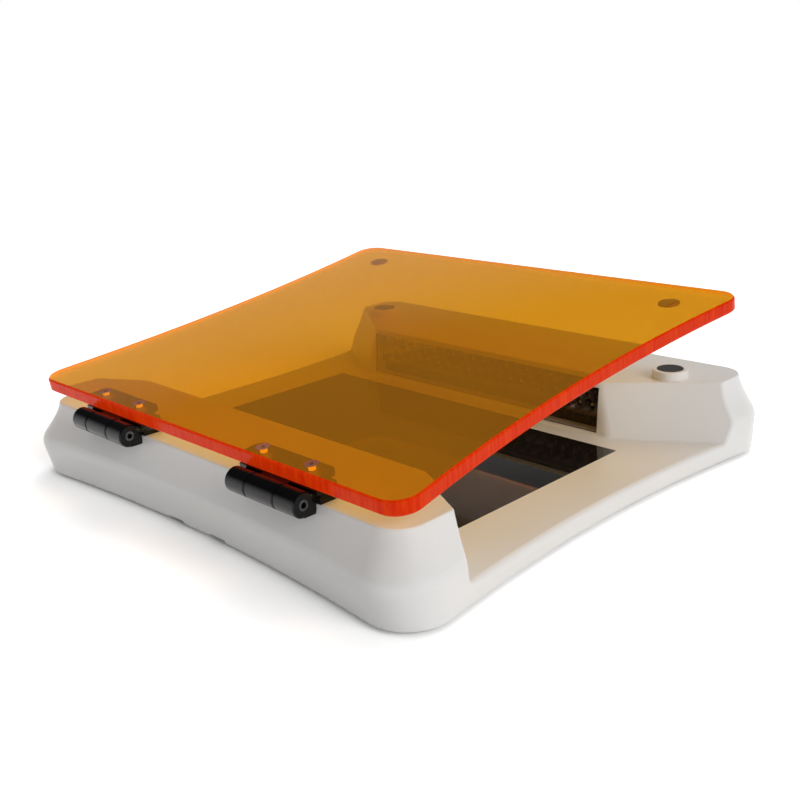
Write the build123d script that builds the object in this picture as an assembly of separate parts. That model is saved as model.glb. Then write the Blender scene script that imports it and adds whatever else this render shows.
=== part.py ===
from build123d import *
import os
from math import cos, radians, sin, tan

# Blue light transilluminator, millimetres.
# X runs along the hinge line, the operator's side is -Y, the hinge side is +Y and Z is up.
# The origin is on the resting plane, midway between the housing's two ends.

# Housing outline
FOOT_HEIGHT = 2.5
HOUSING_HEIGHT = 41.0
BELT_HEIGHT = 20.0
WALL = 3.0
DECK_CORNER_X = 145.0
DECK_REAR_Y = 141.5
DECK_FRONT_Y = -137.5
DECK_BOW = 0.5
DECK_CORNER_RADIUS = 14.0
BELT_CORNER_X = 160.5
BELT_REAR_Y = 156.0
BELT_FRONT_Y = -146.0
BELT_BOW_X = 13.5
BELT_BOW_Y = 8.0
BELT_CORNER_RADIUS = 22.0
RIM_CORNER_X = 160.0
RIM_REAR_Y = 152.0
RIM_FRONT_Y = -144.5
RIM_BOW_X = 13.5
RIM_BOW_Y = 10.5
RIM_CORNER_RADIUS = 21.0
FLARE_POWER = 1.45
FLARE_STEPS = 3
BELT_EDGE_RADIUS = 10.0
DECK_EDGE_RADIUS = 0.8
MOUTH_EDGE_RADIUS = 2.5

# Working trough between the two light towers; paired sizes hold at its floor and at the deck
FLOOR_RISE = 9.5
FLOOR_THICKNESS = 5.0
FRONT_WALL_Y = -67.5
REAR_WALL_Y = 91.0
FRONT_SPLAY_X = (98.0, 90.4)
FRONT_SPLAY_ANGLE = (30.9, 36.0)
REAR_SPLAY_X = (120.5, 114.0)
REAR_SPLAY_ANGLE = (30.0, 27.0)
TROUGH_SPLAY_RADIUS = 10.0
TROUGH_DRAFT = 4.0
TROUGH_FLOOR_RADIUS = 1.5

# Viewing glass in the trough floor
GLASS_LENGTH = 224.6
GLASS_MARGIN = 11.7
GLASS_THICKNESS = 3.0
GLASS_CORNER_RADIUS = 1.0
GLASS_CLEARANCE = 0.15
GLASS_LEDGE = 5.0
BACKPLATE_THICKNESS = 1.6
BACKPLATE_OVERLAP = 3.0
BACKPLATE_GAP = 0.1

# Light modules behind the tower windows
WINDOW_LENGTH = 181.6
WINDOW_HEIGHT = 26.5
WINDOW_SILL = 1.9
PANE_THICKNESS = 2.0
PANE_RECESS = 0.4
PANE_CLEARANCE = 0.15
COLLAR_WALL = 2.2
COLLAR_DEPTH = 11.0
BOARD_THICKNESS = 1.6
BOARD_MARGIN = 1.8
LENS_END_GAP = 1.3
LENS_HEIGHT = 18.6
LENS_DEPTH = 4.5
LENS_TOP_GAP = 0.3
CUP_PITCH = 8.7
CUP_ROWS = 2
CUP_WEB = 0.8
CUP_THROAT = 2.1
EMITTER_SIZE = 2.4
EMITTER_HEIGHT = 0.5
SINK_BASE = 3.0
SINK_FIN_DEPTH = 12.0
SINK_FIN_THICKNESS = 2.0
SINK_FIN_PITCH = 12.0
MODULE_SEAT_GAP = 0.1

# Lid stops on the front tower
STOP_X = 116.0
STOP_FROM_WALL = 35.0
STOP_RADIUS = 10.0
STOP_HEIGHT = 4.8
STOP_EDGE_RADIUS = 0.5
MAGNET_RADIUS = 7.4
MAGNET_THICKNESS = 2.0
MAGNET_PROUD = 0.1
MAGNET_CLEARANCE = 0.1
MAGNET_FLOOR_GAP = 0.05

# Hinges
HINGE_X = 70.0
BARREL_LENGTH = 49.0
BARREL_RADIUS = 6.0
BARREL_WALL_GAP = 0.9
BARREL_EDGE = 0.6
PIVOT_ABOVE_DECK = 1.4
OUTER_KNUCKLE = 14.0
KNUCKLE_GAP = 0.5
LEAF_LENGTH = 55.0
LEAF_THICKNESS = 2.0
LEAF_REACH = 14.0
LEAF_CORNER_RADIUS = 5.0
LEAF_RUNNING_GAP = 0.4
SEAT_CLEARANCE = 0.1
HINGE_PIN_RADIUS = 2.5
HINGE_PIN_FIT = 0.03
HINGE_PIN_BORE = 1.4
HINGE_PIN_BORE_DEPTH = 6.0
SCREW_SPREAD = 17.0

# Lid
LID_WIDTH = 300.0
LID_DEPTH = 267.5
LID_THICKNESS = 7.5
LID_SIDE_BOW = 10.6
LID_CORNER_RADIUS = 12.0
LID_BEVEL = 0.9
LID_EDGE_FROM_PIVOT = 6.0
LID_ABOVE_PIVOT = 4.47
LID_REST_ANGLE = 7.4
CATCH_RADIUS = 6.0
CATCH_THICKNESS = 0.8

# Screws
SCREW_RADIUS = 1.75
SCREW_HEAD_RADIUS = 3.4
SCREW_HEAD_HEIGHT = 1.9
SCREW_FIT = 0.05
LID_SCREW_SETBACK = 7.5
LID_SCREW_STOP = 0.4
BASE_SCREW_SETBACK = 8.0
BASE_SCREW_LENGTH = 9.0
SOCKET_RADIUS = 1.1
SOCKET_DEPTH = 0.9

# Bottom cover, its screws and feet
COVER_THICKNESS = 2.0
COVER_CLEARANCE = 0.25
BOSS_RADIUS = 4.0
BOSS_X = 122.0
BOSS_ROWS_Y = (-122.0, 128.5)
COVER_SCREW_RADIUS = 1.4
COVER_SCREW_HEAD_RADIUS = 2.8
COVER_SCREW_HEAD_HEIGHT = 1.2
COVER_SCREW_LENGTH = 10.0
FOOT_RADIUS = 7.5
FOOT_X = 138.0
FOOT_Y = 96.0
FOOT_TAPER = 1.0
NOTCH_LENGTH = 13.0
NOTCH_HEIGHT = 1.2
NOTCH_RECESS = 1.3
NOTCH_CENTRES = (21.0, -15.0)
NOTCH_CLEARANCE = 0.1

# Push-button switch in the front face
SWITCH_X = 62.0
SWITCH_Z = 22.5
SWITCH_BEZEL_RADIUS = 9.0
SWITCH_BEZEL_HEIGHT = 1.8
SWITCH_BARREL_RADIUS = 7.9
SWITCH_BARREL_LENGTH = 14.0
SWITCH_FIT = 0.1
SWITCH_SPOT_CLEARANCE = 0.4
SWITCH_FACE_Y = -137.0
SWITCH_PAD = 3.0
SWITCH_NUT_WIDTH = 19.0
SWITCH_NUT_HEIGHT = 3.0
BUTTON_RADIUS = 6.0
BUTTON_PROUD = 2.0
BUTTON_FIT = 0.1
BUTTON_TRAVEL = 1.5
BUTTON_STEM_RADIUS = 3.0
BUTTON_STEM_LENGTH = 4.0
BUTTON_CAP_HEIGHT = 3.2
BUTTON_DISH = 0.5

# Supply inlet in the right end of the rear tower
INLET_Y = 122.0
INLET_Z = 15.5
INLET_FACE_X = 153.4
INLET_FLANGE_RADIUS = 5.6
INLET_FLANGE_HEIGHT = 1.0
INLET_BARREL_RADIUS = 4.4
INLET_BARREL_LENGTH = 13.0
INLET_BORE_RADIUS = 3.25
INLET_BORE_DEPTH = 9.5
INLET_PIN_RADIUS = 1.0
INLET_PIN_LENGTH = 8.5
INLET_NUT_WIDTH = 11.0
INLET_NUT_HEIGHT = 2.0
INLET_PAD = 3.0

# Driver board in the front tower
DRIVER_LENGTH = 70.0
DRIVER_WIDTH = 34.0
DRIVER_THICKNESS = 1.6
DRIVER_X = -40.0
DRIVER_Y = -112.5
DRIVER_STANDOFF = 5.0
DRIVER_STANDOFF_RADIUS = 3.0
DRIVER_HOLE_INSET = 5.0
DRIVER_SCREW_RADIUS = 1.2
DRIVER_SCREW_HEAD_RADIUS = 2.3
DRIVER_SCREW_HEAD_HEIGHT = 1.4
DRIVER_SCREW_LENGTH = 5.0
CAPACITOR_RADIUS = 4.0
CAPACITOR_HEIGHT = 6.0
COIL_LENGTH = 12.0
COIL_WIDTH = 10.0
COIL_HEIGHT = 4.0

# How far cutting shapes run past a face, and how near an edge must be to a level
CUT_OVERRUN = 1.0
LEVEL_TOLERANCE = 0.01

# Levels and places that follow from the sizes above
RIM_Z = FOOT_HEIGHT
BELT_Z = RIM_Z + BELT_HEIGHT
DECK_Z = RIM_Z + HOUSING_HEIGHT
FLOOR_Z = RIM_Z + FLOOR_RISE
COVER_TOP_Z = RIM_Z + COVER_THICKNESS
STOP_TOP_Z = DECK_Z + STOP_HEIGHT
TROUGH_CENTRE_Y = (FRONT_WALL_Y + REAR_WALL_Y) / 2
GLASS_WIDTH = REAR_WALL_Y - FRONT_WALL_Y - 2 * GLASS_MARGIN
LENS_LENGTH = WINDOW_LENGTH - 2 * LENS_END_GAP
PIVOT_Y = DECK_REAR_Y + BARREL_WALL_GAP + BARREL_RADIUS
PIVOT_Z = DECK_Z + PIVOT_ABOVE_DECK
LID_BOTTOM_Z = PIVOT_Z + LID_ABOVE_PIVOT
LID_TOP_Z = LID_BOTTOM_Z + LID_THICKNESS
LID_REAR_Y = PIVOT_Y - LID_EDGE_FROM_PIVOT
LEAF_FRONT_Y = LID_REAR_Y - LEAF_REACH
LID_SCREW_Y = LID_REAR_Y - LID_SCREW_SETBACK
BASE_SCREW_Y = DECK_REAR_Y - BASE_SCREW_SETBACK
STOP_Y = FRONT_WALL_Y - STOP_FROM_WALL

# Housing outlines: corner x, rear y, front y, end bow, side bow, corner radius
DECK_OUTLINE = (DECK_CORNER_X, DECK_REAR_Y, DECK_FRONT_Y, DECK_BOW, DECK_BOW, DECK_CORNER_RADIUS)
BELT_OUTLINE = (BELT_CORNER_X, BELT_REAR_Y, BELT_FRONT_Y, BELT_BOW_X, BELT_BOW_Y, BELT_CORNER_RADIUS)
RIM_OUTLINE = (RIM_CORNER_X, RIM_REAR_Y, RIM_FRONT_Y, RIM_BOW_X, RIM_BOW_Y, RIM_CORNER_RADIUS)


def between(low, high, share):
    return low + share * (high - low)


def waisted_face(outline, z, inset=0.0):
    """Rounded plan outline whose four sides bow inwards, as a face at height z."""
    corner_x, rear_y, front_y, bow_x, bow_y, radius = outline
    corner_x = corner_x - inset
    rear_y = rear_y - inset
    front_y = front_y + inset
    middle_y = (rear_y + front_y) / 2
    waist_x = corner_x - bow_x
    corners = [(corner_x, rear_y), (-corner_x, rear_y), (-corner_x, front_y), (corner_x, front_y)]
    waists = [(0, rear_y - bow_y), (-waist_x, middle_y), (0, front_y + bow_y), (waist_x, middle_y)]
    sides = [ThreePointArc(corners[i], waists[i], corners[(i + 1) % 4]) for i in range(4)]
    face = Face(Wire(sides))
    face = face.fillet_2d(radius - inset / 2, face.vertices())
    return Pos(0, 0, z) * face


def flare_section(share, z, inset=0.0):
    """Section between the deck outline (share 0) and the belt outline (share 1)."""
    outline = [between(deck, belt, share) for deck, belt in zip(DECK_OUTLINE, BELT_OUTLINE)]
    return waisted_face(outline, z, inset)


def edges_at(shape, z):
    """Edges that lie level at height z."""
    return shape.edges().filter_by_position(Axis.Z, z - LEVEL_TOLERANCE, z + LEVEL_TOLERANCE)


def housing_body(inset=0.0, top_drop=0.0):
    """Skirt that tapers in below the belt and flares out from the deck above it."""
    sections = []
    for i in range(FLARE_STEPS + 1):
        rise = i / FLARE_STEPS
        z = BELT_Z + rise * (DECK_Z - BELT_Z)
        sections.append(flare_section((1 - rise) ** FLARE_POWER, z, inset))
    upper = loft(sections)
    lower = loft([waisted_face(RIM_OUTLINE, RIM_Z, inset), waisted_face(BELT_OUTLINE, BELT_Z, inset)])
    body = upper + lower
    body = fillet(edges_at(body, BELT_Z), BELT_EDGE_RADIUS)
    if top_drop:
        keep_height = DECK_Z - top_drop - RIM_Z
        keep = Pos(0, 0, RIM_Z + keep_height / 2) * Box(3 * DECK_CORNER_X, 3 * DECK_CORNER_X, keep_height)
        body = body & keep
    return body


def trough_outline(level, grow=0.0):
    """Plan of the trough at a level above its floor: straight beside the windows, splayed at both ends."""
    share = level / (DECK_Z - FLOOR_Z)
    spread = grow + level * tan(radians(TROUGH_DRAFT))
    reach = BELT_CORNER_X + 2 * WALL
    front_y = FRONT_WALL_Y - spread
    front_x = between(*FRONT_SPLAY_X, share)
    front_end = front_y - (reach - front_x) * tan(radians(between(*FRONT_SPLAY_ANGLE, share)))
    rear_y = REAR_WALL_Y + spread
    rear_x = between(*REAR_SPLAY_X, share)
    rear_end = rear_y + (reach - rear_x) * tan(radians(between(*REAR_SPLAY_ANGLE, share)))
    points = [
        (-reach, front_end),
        (-front_x, front_y),
        (front_x, front_y),
        (reach, front_end),
        (reach, rear_end),
        (rear_x, rear_y),
        (-rear_x, rear_y),
        (-reach, rear_end),
    ]
    face = make_face(Polyline(*points, close=True)).face()
    bends = [v for v in face.vertices() if abs(v.X) < BELT_CORNER_X]
    return Pos(0, 0, FLOOR_Z + level) * face.fillet_2d(TROUGH_SPLAY_RADIUS, bends)


def trough_space():
    """Air of the trough, wider at the top by the moulding draft."""
    space = loft([trough_outline(0), trough_outline(DECK_Z - FLOOR_Z + WALL)], ruled=True)
    foot = [e for e in edges_at(space, FLOOR_Z) if abs(e.center().X) < BELT_CORNER_X]
    return fillet(foot, TROUGH_FLOOR_RADIUS)


def trough_liner():
    """Solid that leaves the tower walls and the floor once the trough is cut from it."""
    liner = loft([trough_outline(-FLOOR_THICKNESS, WALL), trough_outline(DECK_Z - FLOOR_Z, WALL)], ruled=True)
    return liner & housing_body()


def window_plane():
    """Plane on the front tower's trough wall at floor level, leaning with the draft."""
    lean = radians(TROUGH_DRAFT)
    return Plane(
        origin=(0, FRONT_WALL_Y, FLOOR_Z),
        x_dir=(-1, 0, 0),
        z_dir=(0, cos(lean), sin(lean)),
    )


def window_box(length, height, depth, front, below=0.0):
    """Box on the window, its near face at the depth front behind the wall face."""
    centre = WINDOW_SILL + WINDOW_HEIGHT / 2 - below / 2
    height = height + below
    return window_plane() * Pos(0, centre, -front - depth / 2) * Box(length, height, depth)


def window_collar():
    """Moulded frame behind the window that carries the light module."""
    return window_box(
        WINDOW_LENGTH + 2 * COLLAR_WALL, WINDOW_HEIGHT + 2 * COLLAR_WALL, COLLAR_DEPTH - WALL / 2, WALL / 2
    )


def rear_copy(part):
    """The same piece in the rear tower."""
    return mirror(part, Plane.XZ.offset(-TROUGH_CENTRE_Y))


def switch_axis():
    """Frame of the push-button: its Z points out of the front face."""
    return Plane(origin=(SWITCH_X, SWITCH_FACE_Y, SWITCH_Z), x_dir=(1, 0, 0), z_dir=(0, -1, 0))


def inlet_axis():
    """Frame of the supply inlet: its Z points out of the right end of the rear tower."""
    return Plane(origin=(INLET_FACE_X, INLET_Y, INLET_Z), x_dir=(0, 1, 0), z_dir=(1, 0, 0))


def rod(frame, radius, start, length):
    """Round bar on a frame's Z axis from start to start + length."""
    return frame * Pos(0, 0, start + length / 2) * Cylinder(radius, length)


def cover_screw_places():
    return [(x, y) for x in (-BOSS_X, 0.0, BOSS_X) for y in BOSS_ROWS_Y]


def screw_bosses():
    """Bosses that run from the bottom cover up into the towers."""
    height = DECK_Z - WALL / 2 - COVER_TOP_Z
    bosses = Part()
    for x, y in cover_screw_places():
        bosses += Pos(x, y, COVER_TOP_Z + height / 2) * Cylinder(BOSS_RADIUS, height)
    return bosses


def hinge_places():
    return (-HINGE_X, HINGE_X)


def hinge_seat(x):
    """Pocket in the deck edge for the block of the hinge's fixed half."""
    reach_y = PIVOT_Y
    front_y = DECK_REAR_Y - SEAT_CLEARANCE / 2
    height = DECK_Z + LEAF_THICKNESS - (PIVOT_Z - BARREL_RADIUS) + 2 * SEAT_CLEARANCE
    low_z = PIVOT_Z - BARREL_RADIUS - SEAT_CLEARANCE
    centre = (x, (reach_y + front_y) / 2, low_z + height / 2)
    return Pos(*centre) * Box(BARREL_LENGTH + 4 * SEAT_CLEARANCE, reach_y - front_y, height)


def base_screw_pilots():
    holes = Part()
    for x in hinge_places():
        for side in (-1, 1):
            depth = BASE_SCREW_LENGTH - LEAF_THICKNESS
            place = Pos(x + side * SCREW_SPREAD, BASE_SCREW_Y, DECK_Z - depth / 2)
            holes += place * Cylinder(SCREW_RADIUS + SCREW_FIT, depth + 2 * SCREW_FIT)
    return holes


def stop_posts():
    """Two round pads on the front tower that carry the lid's magnets."""
    posts = Part()
    for x in (-STOP_X, STOP_X):
        post = Pos(x, STOP_Y, DECK_Z + STOP_HEIGHT / 2) * Cylinder(STOP_RADIUS, STOP_HEIGHT)
        post = fillet(post.edges().group_by(Axis.Z)[-1], STOP_EDGE_RADIUS)
        posts += post
    return posts


def magnet_pockets():
    pockets = Part()
    depth = MAGNET_THICKNESS - MAGNET_PROUD + MAGNET_FLOOR_GAP
    for x in (-STOP_X, STOP_X):
        pocket = Cylinder(MAGNET_RADIUS + MAGNET_CLEARANCE, depth)
        pockets += Pos(x, STOP_Y, STOP_TOP_Z - depth / 2) * pocket
    return pockets


def notch_box(x, clearance, y_from, y_to, height):
    """Block through the rear rim for one tab of the bottom cover."""
    block = Box(NOTCH_LENGTH + 2 * clearance, y_to - y_from, height)
    return Pos(x, (y_from + y_to) / 2, RIM_Z + height / 2) * block


def rounded_plate(length, width, thickness, radius):
    sketch = RectangleRounded(length, width, radius)
    return extrude(sketch, thickness)


def glass_opening():
    rebate_depth = GLASS_THICKNESS + GLASS_CLEARANCE
    rebate = Pos(0, TROUGH_CENTRE_Y, FLOOR_Z - rebate_depth) * rounded_plate(
        GLASS_LENGTH + 2 * GLASS_CLEARANCE,
        GLASS_WIDTH + 2 * GLASS_CLEARANCE,
        rebate_depth + CUT_OVERRUN,
        GLASS_CORNER_RADIUS + GLASS_CLEARANCE,
    )
    through = Pos(0, TROUGH_CENTRE_Y, FLOOR_Z - FLOOR_THICKNESS - CUT_OVERRUN) * rounded_plate(
        GLASS_LENGTH - 2 * GLASS_LEDGE, GLASS_WIDTH - 2 * GLASS_LEDGE, FLOOR_THICKNESS + CUT_OVERRUN, GLASS_LEDGE
    )
    return rebate + through


def mouth_edges(shell, space):
    """Outer edges round both open ends of the trough: the floor's and the towers'."""
    floor = [
        e
        for e in edges_at(shell, FLOOR_Z)
        if abs(e.center().X) > DECK_CORNER_X - WALL and FRONT_WALL_Y < e.center().Y < REAR_WALL_Y
    ]
    tower = [
        e
        for e in shell.edges()
        if abs(e.center().X) > DECK_CORNER_X - WALL
        and e.bounding_box().size.Z > WALL / 2
        and e.bounding_box().min.Z > FLOOR_Z - LEVEL_TOLERANCE
        and space.distance_to(e.center()) < LEVEL_TOLERANCE
    ]
    return floor + tower


def upper_housing():
    """White moulded housing: two towers, flared skirt, open-ended trough and glass rebate."""
    shell = housing_body() - housing_body(WALL, WALL)
    shell += trough_liner()
    space = trough_space()
    shell -= space
    shell = fillet(mouth_edges(shell, space), MOUTH_EDGE_RADIUS)
    shell = fillet(edges_at(shell, DECK_Z), DECK_EDGE_RADIUS)
    core = housing_body(WALL / 2, WALL / 2)
    shell += screw_bosses() & (core - space)
    shell += window_collar() + rear_copy(window_collar())
    pad = rod(switch_axis(), SWITCH_BEZEL_RADIUS + SWITCH_PAD, -SWITCH_PAD, SWITCH_PAD)
    inlet_pad = rod(inlet_axis(), INLET_FLANGE_RADIUS + INLET_PAD, -INLET_PAD, INLET_PAD)
    shell += (pad + inlet_pad) & core
    shell += stop_posts()
    opening = window_box(WINDOW_LENGTH, WINDOW_HEIGHT, COLLAR_DEPTH + 2 * CUT_OVERRUN, -CUT_OVERRUN)
    shell -= opening + rear_copy(opening)
    shell -= glass_opening()
    shell -= rod(switch_axis(), SWITCH_BEZEL_RADIUS + SWITCH_SPOT_CLEARANCE, 0, 2 * WALL)
    shell -= rod(switch_axis(), SWITCH_BARREL_RADIUS + SWITCH_FIT, -2 * SWITCH_PAD, 3 * SWITCH_PAD)
    shell -= rod(inlet_axis(), INLET_FLANGE_RADIUS + SWITCH_SPOT_CLEARANCE, 0, 2 * WALL)
    shell -= rod(inlet_axis(), INLET_BARREL_RADIUS + SWITCH_FIT, -2 * INLET_PAD, 3 * INLET_PAD)
    for x in hinge_places():
        shell -= hinge_seat(x)
    shell -= base_screw_pilots()
    shell -= magnet_pockets()
    for x, y in cover_screw_places():
        depth = COVER_SCREW_LENGTH - COVER_THICKNESS + CUT_OVERRUN
        shell -= Pos(x, y, COVER_TOP_Z + depth / 2) * Cylinder(COVER_SCREW_RADIUS + SCREW_FIT, depth)
    for x in NOTCH_CENTRES:
        notch_height = NOTCH_HEIGHT + NOTCH_CLEARANCE
        shell -= notch_box(x, NOTCH_CLEARANCE, DECK_REAR_Y - 2 * WALL, BELT_REAR_Y, notch_height)
    return shell


def bottom_cover():
    """Black base plate inside the rim, with two tabs that show in the rear rim."""
    plate = extrude(waisted_face(RIM_OUTLINE, RIM_Z, WALL + COVER_CLEARANCE), COVER_THICKNESS)
    for x in NOTCH_CENTRES:
        plate += notch_box(x, 0, DECK_REAR_Y - 2 * WALL, RIM_REAR_Y - RIM_BOW_Y - NOTCH_RECESS, NOTCH_HEIGHT)
    for x, y in cover_screw_places():
        hole = Cylinder(COVER_SCREW_RADIUS + SCREW_FIT, COVER_THICKNESS)
        sink = Cylinder(COVER_SCREW_HEAD_RADIUS + SCREW_FIT, COVER_SCREW_HEAD_HEIGHT + SCREW_FIT)
        plate -= Pos(x, y, RIM_Z + COVER_THICKNESS / 2) * hole
        plate -= Pos(x, y, RIM_Z + COVER_SCREW_HEAD_HEIGHT / 2) * sink
    for x, y in driver_hole_places():
        place = Pos(x, y, COVER_TOP_Z + DRIVER_STANDOFF / 2)
        plate += place * Cylinder(DRIVER_STANDOFF_RADIUS, DRIVER_STANDOFF)
        plate -= place * Cylinder(DRIVER_SCREW_RADIUS + SCREW_FIT, DRIVER_STANDOFF)
    return plate


def viewing_glass():
    plate = rounded_plate(GLASS_LENGTH, GLASS_WIDTH, GLASS_THICKNESS, GLASS_CORNER_RADIUS)
    return Pos(0, TROUGH_CENTRE_Y, FLOOR_Z - GLASS_THICKNESS - GLASS_CLEARANCE / 2) * plate


def dark_backplate():
    """Black plate under the glass that keeps the background dark."""
    length = GLASS_LENGTH - 2 * GLASS_LEDGE + 2 * BACKPLATE_OVERLAP
    width = GLASS_WIDTH - 2 * GLASS_LEDGE + 2 * BACKPLATE_OVERLAP
    low = FLOOR_Z - FLOOR_THICKNESS - BACKPLATE_GAP - BACKPLATE_THICKNESS
    return Pos(0, TROUGH_CENTRE_Y, low) * rounded_plate(length, width, BACKPLATE_THICKNESS, GLASS_LEDGE)


def window_pane():
    return window_box(
        WINDOW_LENGTH - 2 * PANE_CLEARANCE, WINDOW_HEIGHT - 2 * PANE_CLEARANCE, PANE_THICKNESS, PANE_RECESS
    )


def cup_places():
    """Centres of the staggered lens cups, measured from the middle of the lens strip."""
    row_pitch = CUP_PITCH * cos(radians(30))
    count = int((LENS_LENGTH - CUP_PITCH / 2) // CUP_PITCH)
    places = []
    for row in range(CUP_ROWS):
        shift = (row % 2 - 0.5) * CUP_PITCH / 2
        for i in range(count):
            places.append(((i - (count - 1) / 2) * CUP_PITCH + shift, (row - (CUP_ROWS - 1) / 2) * row_pitch))
    return places


def lens_centre():
    return WINDOW_SILL + WINDOW_HEIGHT - LENS_TOP_GAP - LENS_HEIGHT / 2


def lens_strip():
    """Strip of six-sided reflector cups in front of the emitters."""
    front = COLLAR_DEPTH - LENS_DEPTH + MODULE_SEAT_GAP
    base = window_plane() * Pos(0, lens_centre(), -front)
    strip = base * Pos(0, 0, -LENS_DEPTH / 2) * Box(LENS_LENGTH, LENS_HEIGHT, LENS_DEPTH)
    mouth_radius = (CUP_PITCH - CUP_WEB) / 2 / cos(radians(30))
    mouth = RegularPolygon(mouth_radius, 6, rotation=30).face()
    throat = Pos(0, 0, -LENS_DEPTH) * RegularPolygon(CUP_THROAT, 6, rotation=30).face()
    cup = loft([mouth, throat])
    cups = [base * Pos(x, y, 0) * cup for x, y in cup_places()]
    return strip - cups


def light_board():
    """Circuit board with one emitter behind each cup."""
    front = COLLAR_DEPTH + MODULE_SEAT_GAP
    board = window_box(WINDOW_LENGTH + 2 * BOARD_MARGIN, WINDOW_HEIGHT, BOARD_THICKNESS, front, BOARD_MARGIN)
    base = window_plane() * Pos(0, lens_centre(), -front + EMITTER_HEIGHT / 2)
    for x, y in cup_places():
        board += base * Pos(x, y, 0) * Box(EMITTER_SIZE, EMITTER_SIZE, EMITTER_HEIGHT)
    return board


def heat_sink():
    """Aluminium plate with upright fins behind the board."""
    front = COLLAR_DEPTH + MODULE_SEAT_GAP + BOARD_THICKNESS
    length = WINDOW_LENGTH + 2 * BOARD_MARGIN
    height = WINDOW_HEIGHT
    sink = window_box(length, height, SINK_BASE, front)
    count = int(length // SINK_FIN_PITCH)
    centre = WINDOW_SILL + WINDOW_HEIGHT / 2
    for i in range(count):
        x = (i - (count - 1) / 2) * SINK_FIN_PITCH
        fin_front = front + SINK_BASE
        place = window_plane() * Pos(x, centre, -fin_front - SINK_FIN_DEPTH / 2)
        sink += place * Box(SINK_FIN_THICKNESS, height, SINK_FIN_DEPTH)
    return sink


def magnets():
    """Black disc magnets in the stop posts."""
    middle_z = STOP_TOP_Z + MAGNET_PROUD - MAGNET_THICKNESS / 2
    disc = Cylinder(MAGNET_RADIUS, MAGNET_THICKNESS)
    return [Pos(x, STOP_Y, middle_z) * disc for x in (-STOP_X, STOP_X)]


def pivot_frame(x):
    """Frame on the hinge axis whose Z runs along +X."""
    return Plane(origin=(x, PIVOT_Y, PIVOT_Z), x_dir=(0, 1, 0), z_dir=(1, 0, 0))


def knuckle_spans():
    """Left, middle and right knuckle as (start, length) from the hinge centre along X."""
    left = (-BARREL_LENGTH / 2, OUTER_KNUCKLE)
    right = (BARREL_LENGTH / 2 - OUTER_KNUCKLE, OUTER_KNUCKLE)
    middle_start = left[0] + left[1] + KNUCKLE_GAP
    middle = (middle_start, right[0] - KNUCKLE_GAP - middle_start)
    return left, middle, right


def knuckle(x, span):
    barrel = rod(pivot_frame(x), BARREL_RADIUS, span[0], span[1])
    return chamfer(barrel.edges().filter_by(GeomType.CIRCLE), BARREL_EDGE)


def pin_bore(x, fit):
    return rod(pivot_frame(x), HINGE_PIN_RADIUS + fit, -BARREL_LENGTH, 2 * BARREL_LENGTH)


def countersink(radius_fit):
    """Cutting shape of a flat-headed screw seen from its head, head face at Z 0."""
    cone = Cone(SCREW_RADIUS + radius_fit, SCREW_HEAD_RADIUS + radius_fit, SCREW_HEAD_HEIGHT)
    return Pos(0, 0, -SCREW_HEAD_HEIGHT / 2) * cone


def flat_screw(length, head_drop):
    """Flat-headed screw with its head face at Z -head_drop."""
    body = Pos(0, 0, -length / 2) * Cylinder(SCREW_RADIUS, length)
    screw = countersink(0) + body
    socket = Pos(0, 0, -SOCKET_DEPTH) * extrude(RegularPolygon(SOCKET_RADIUS, 6), SOCKET_DEPTH)
    return Pos(0, 0, -head_drop) * (screw - socket)


def leaf_plate(x, back_y, low_z):
    """Hinge leaf with round front corners, straight along its back edge."""
    depth = back_y - LEAF_FRONT_Y
    uncut_depth = depth + LEAF_CORNER_RADIUS
    sheet = rounded_plate(LEAF_LENGTH, uncut_depth, LEAF_THICKNESS, LEAF_CORNER_RADIUS)
    sheet = Pos(x, LEAF_FRONT_Y + uncut_depth / 2, low_z) * sheet
    keep = Box(LEAF_LENGTH, depth, 2 * LEAF_THICKNESS)
    return sheet & (Pos(x, LEAF_FRONT_Y + depth / 2, low_z + LEAF_THICKNESS / 2) * keep)


def hinge_base(x):
    """Fixed half: leaf on the deck, block against the wall and the two outer knuckles."""
    back_y = DECK_REAR_Y + SEAT_CLEARANCE / 2
    low_z = PIVOT_Z - BARREL_RADIUS
    top_z = DECK_Z + MODULE_SEAT_GAP + LEAF_THICKNESS
    block_y = PIVOT_Y - back_y
    block = Pos(x, back_y + block_y / 2, (low_z + top_z) / 2) * Box(BARREL_LENGTH, block_y, top_z - low_z)
    half = leaf_plate(x, back_y, top_z - LEAF_THICKNESS) + block
    left, middle, right = knuckle_spans()
    slot_length = middle[1] + 2 * KNUCKLE_GAP
    half -= rod(pivot_frame(x), BARREL_RADIUS + LEAF_RUNNING_GAP, middle[0] - KNUCKLE_GAP, slot_length)
    half += knuckle(x, left) + knuckle(x, right)
    half -= pin_bore(x, HINGE_PIN_FIT)
    for side in (-1, 1):
        place = Pos(x + side * SCREW_SPREAD, BASE_SCREW_Y, top_z)
        half -= place * countersink(SCREW_FIT)
        half -= place * Pos(0, 0, -LEAF_THICKNESS) * Cylinder(SCREW_RADIUS + SCREW_FIT, 2 * LEAF_THICKNESS)
    return half


def hinge_pin(x):
    """Steel pin with a socket in each end."""
    pin = rod(pivot_frame(x), HINGE_PIN_RADIUS, -BARREL_LENGTH / 2, BARREL_LENGTH)
    for end in (-1, 1):
        start = end * BARREL_LENGTH / 2 - (HINGE_PIN_BORE_DEPTH if end > 0 else 0)
        pin -= rod(pivot_frame(x), HINGE_PIN_BORE, start, HINGE_PIN_BORE_DEPTH)
    return pin


def base_hinge_screws():
    top_z = DECK_Z + MODULE_SEAT_GAP + LEAF_THICKNESS
    screw = flat_screw(BASE_SCREW_LENGTH, SCREW_FIT)
    return [
        Pos(x + side * SCREW_SPREAD, BASE_SCREW_Y, top_z) * screw for x in hinge_places() for side in (-1, 1)
    ]


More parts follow.
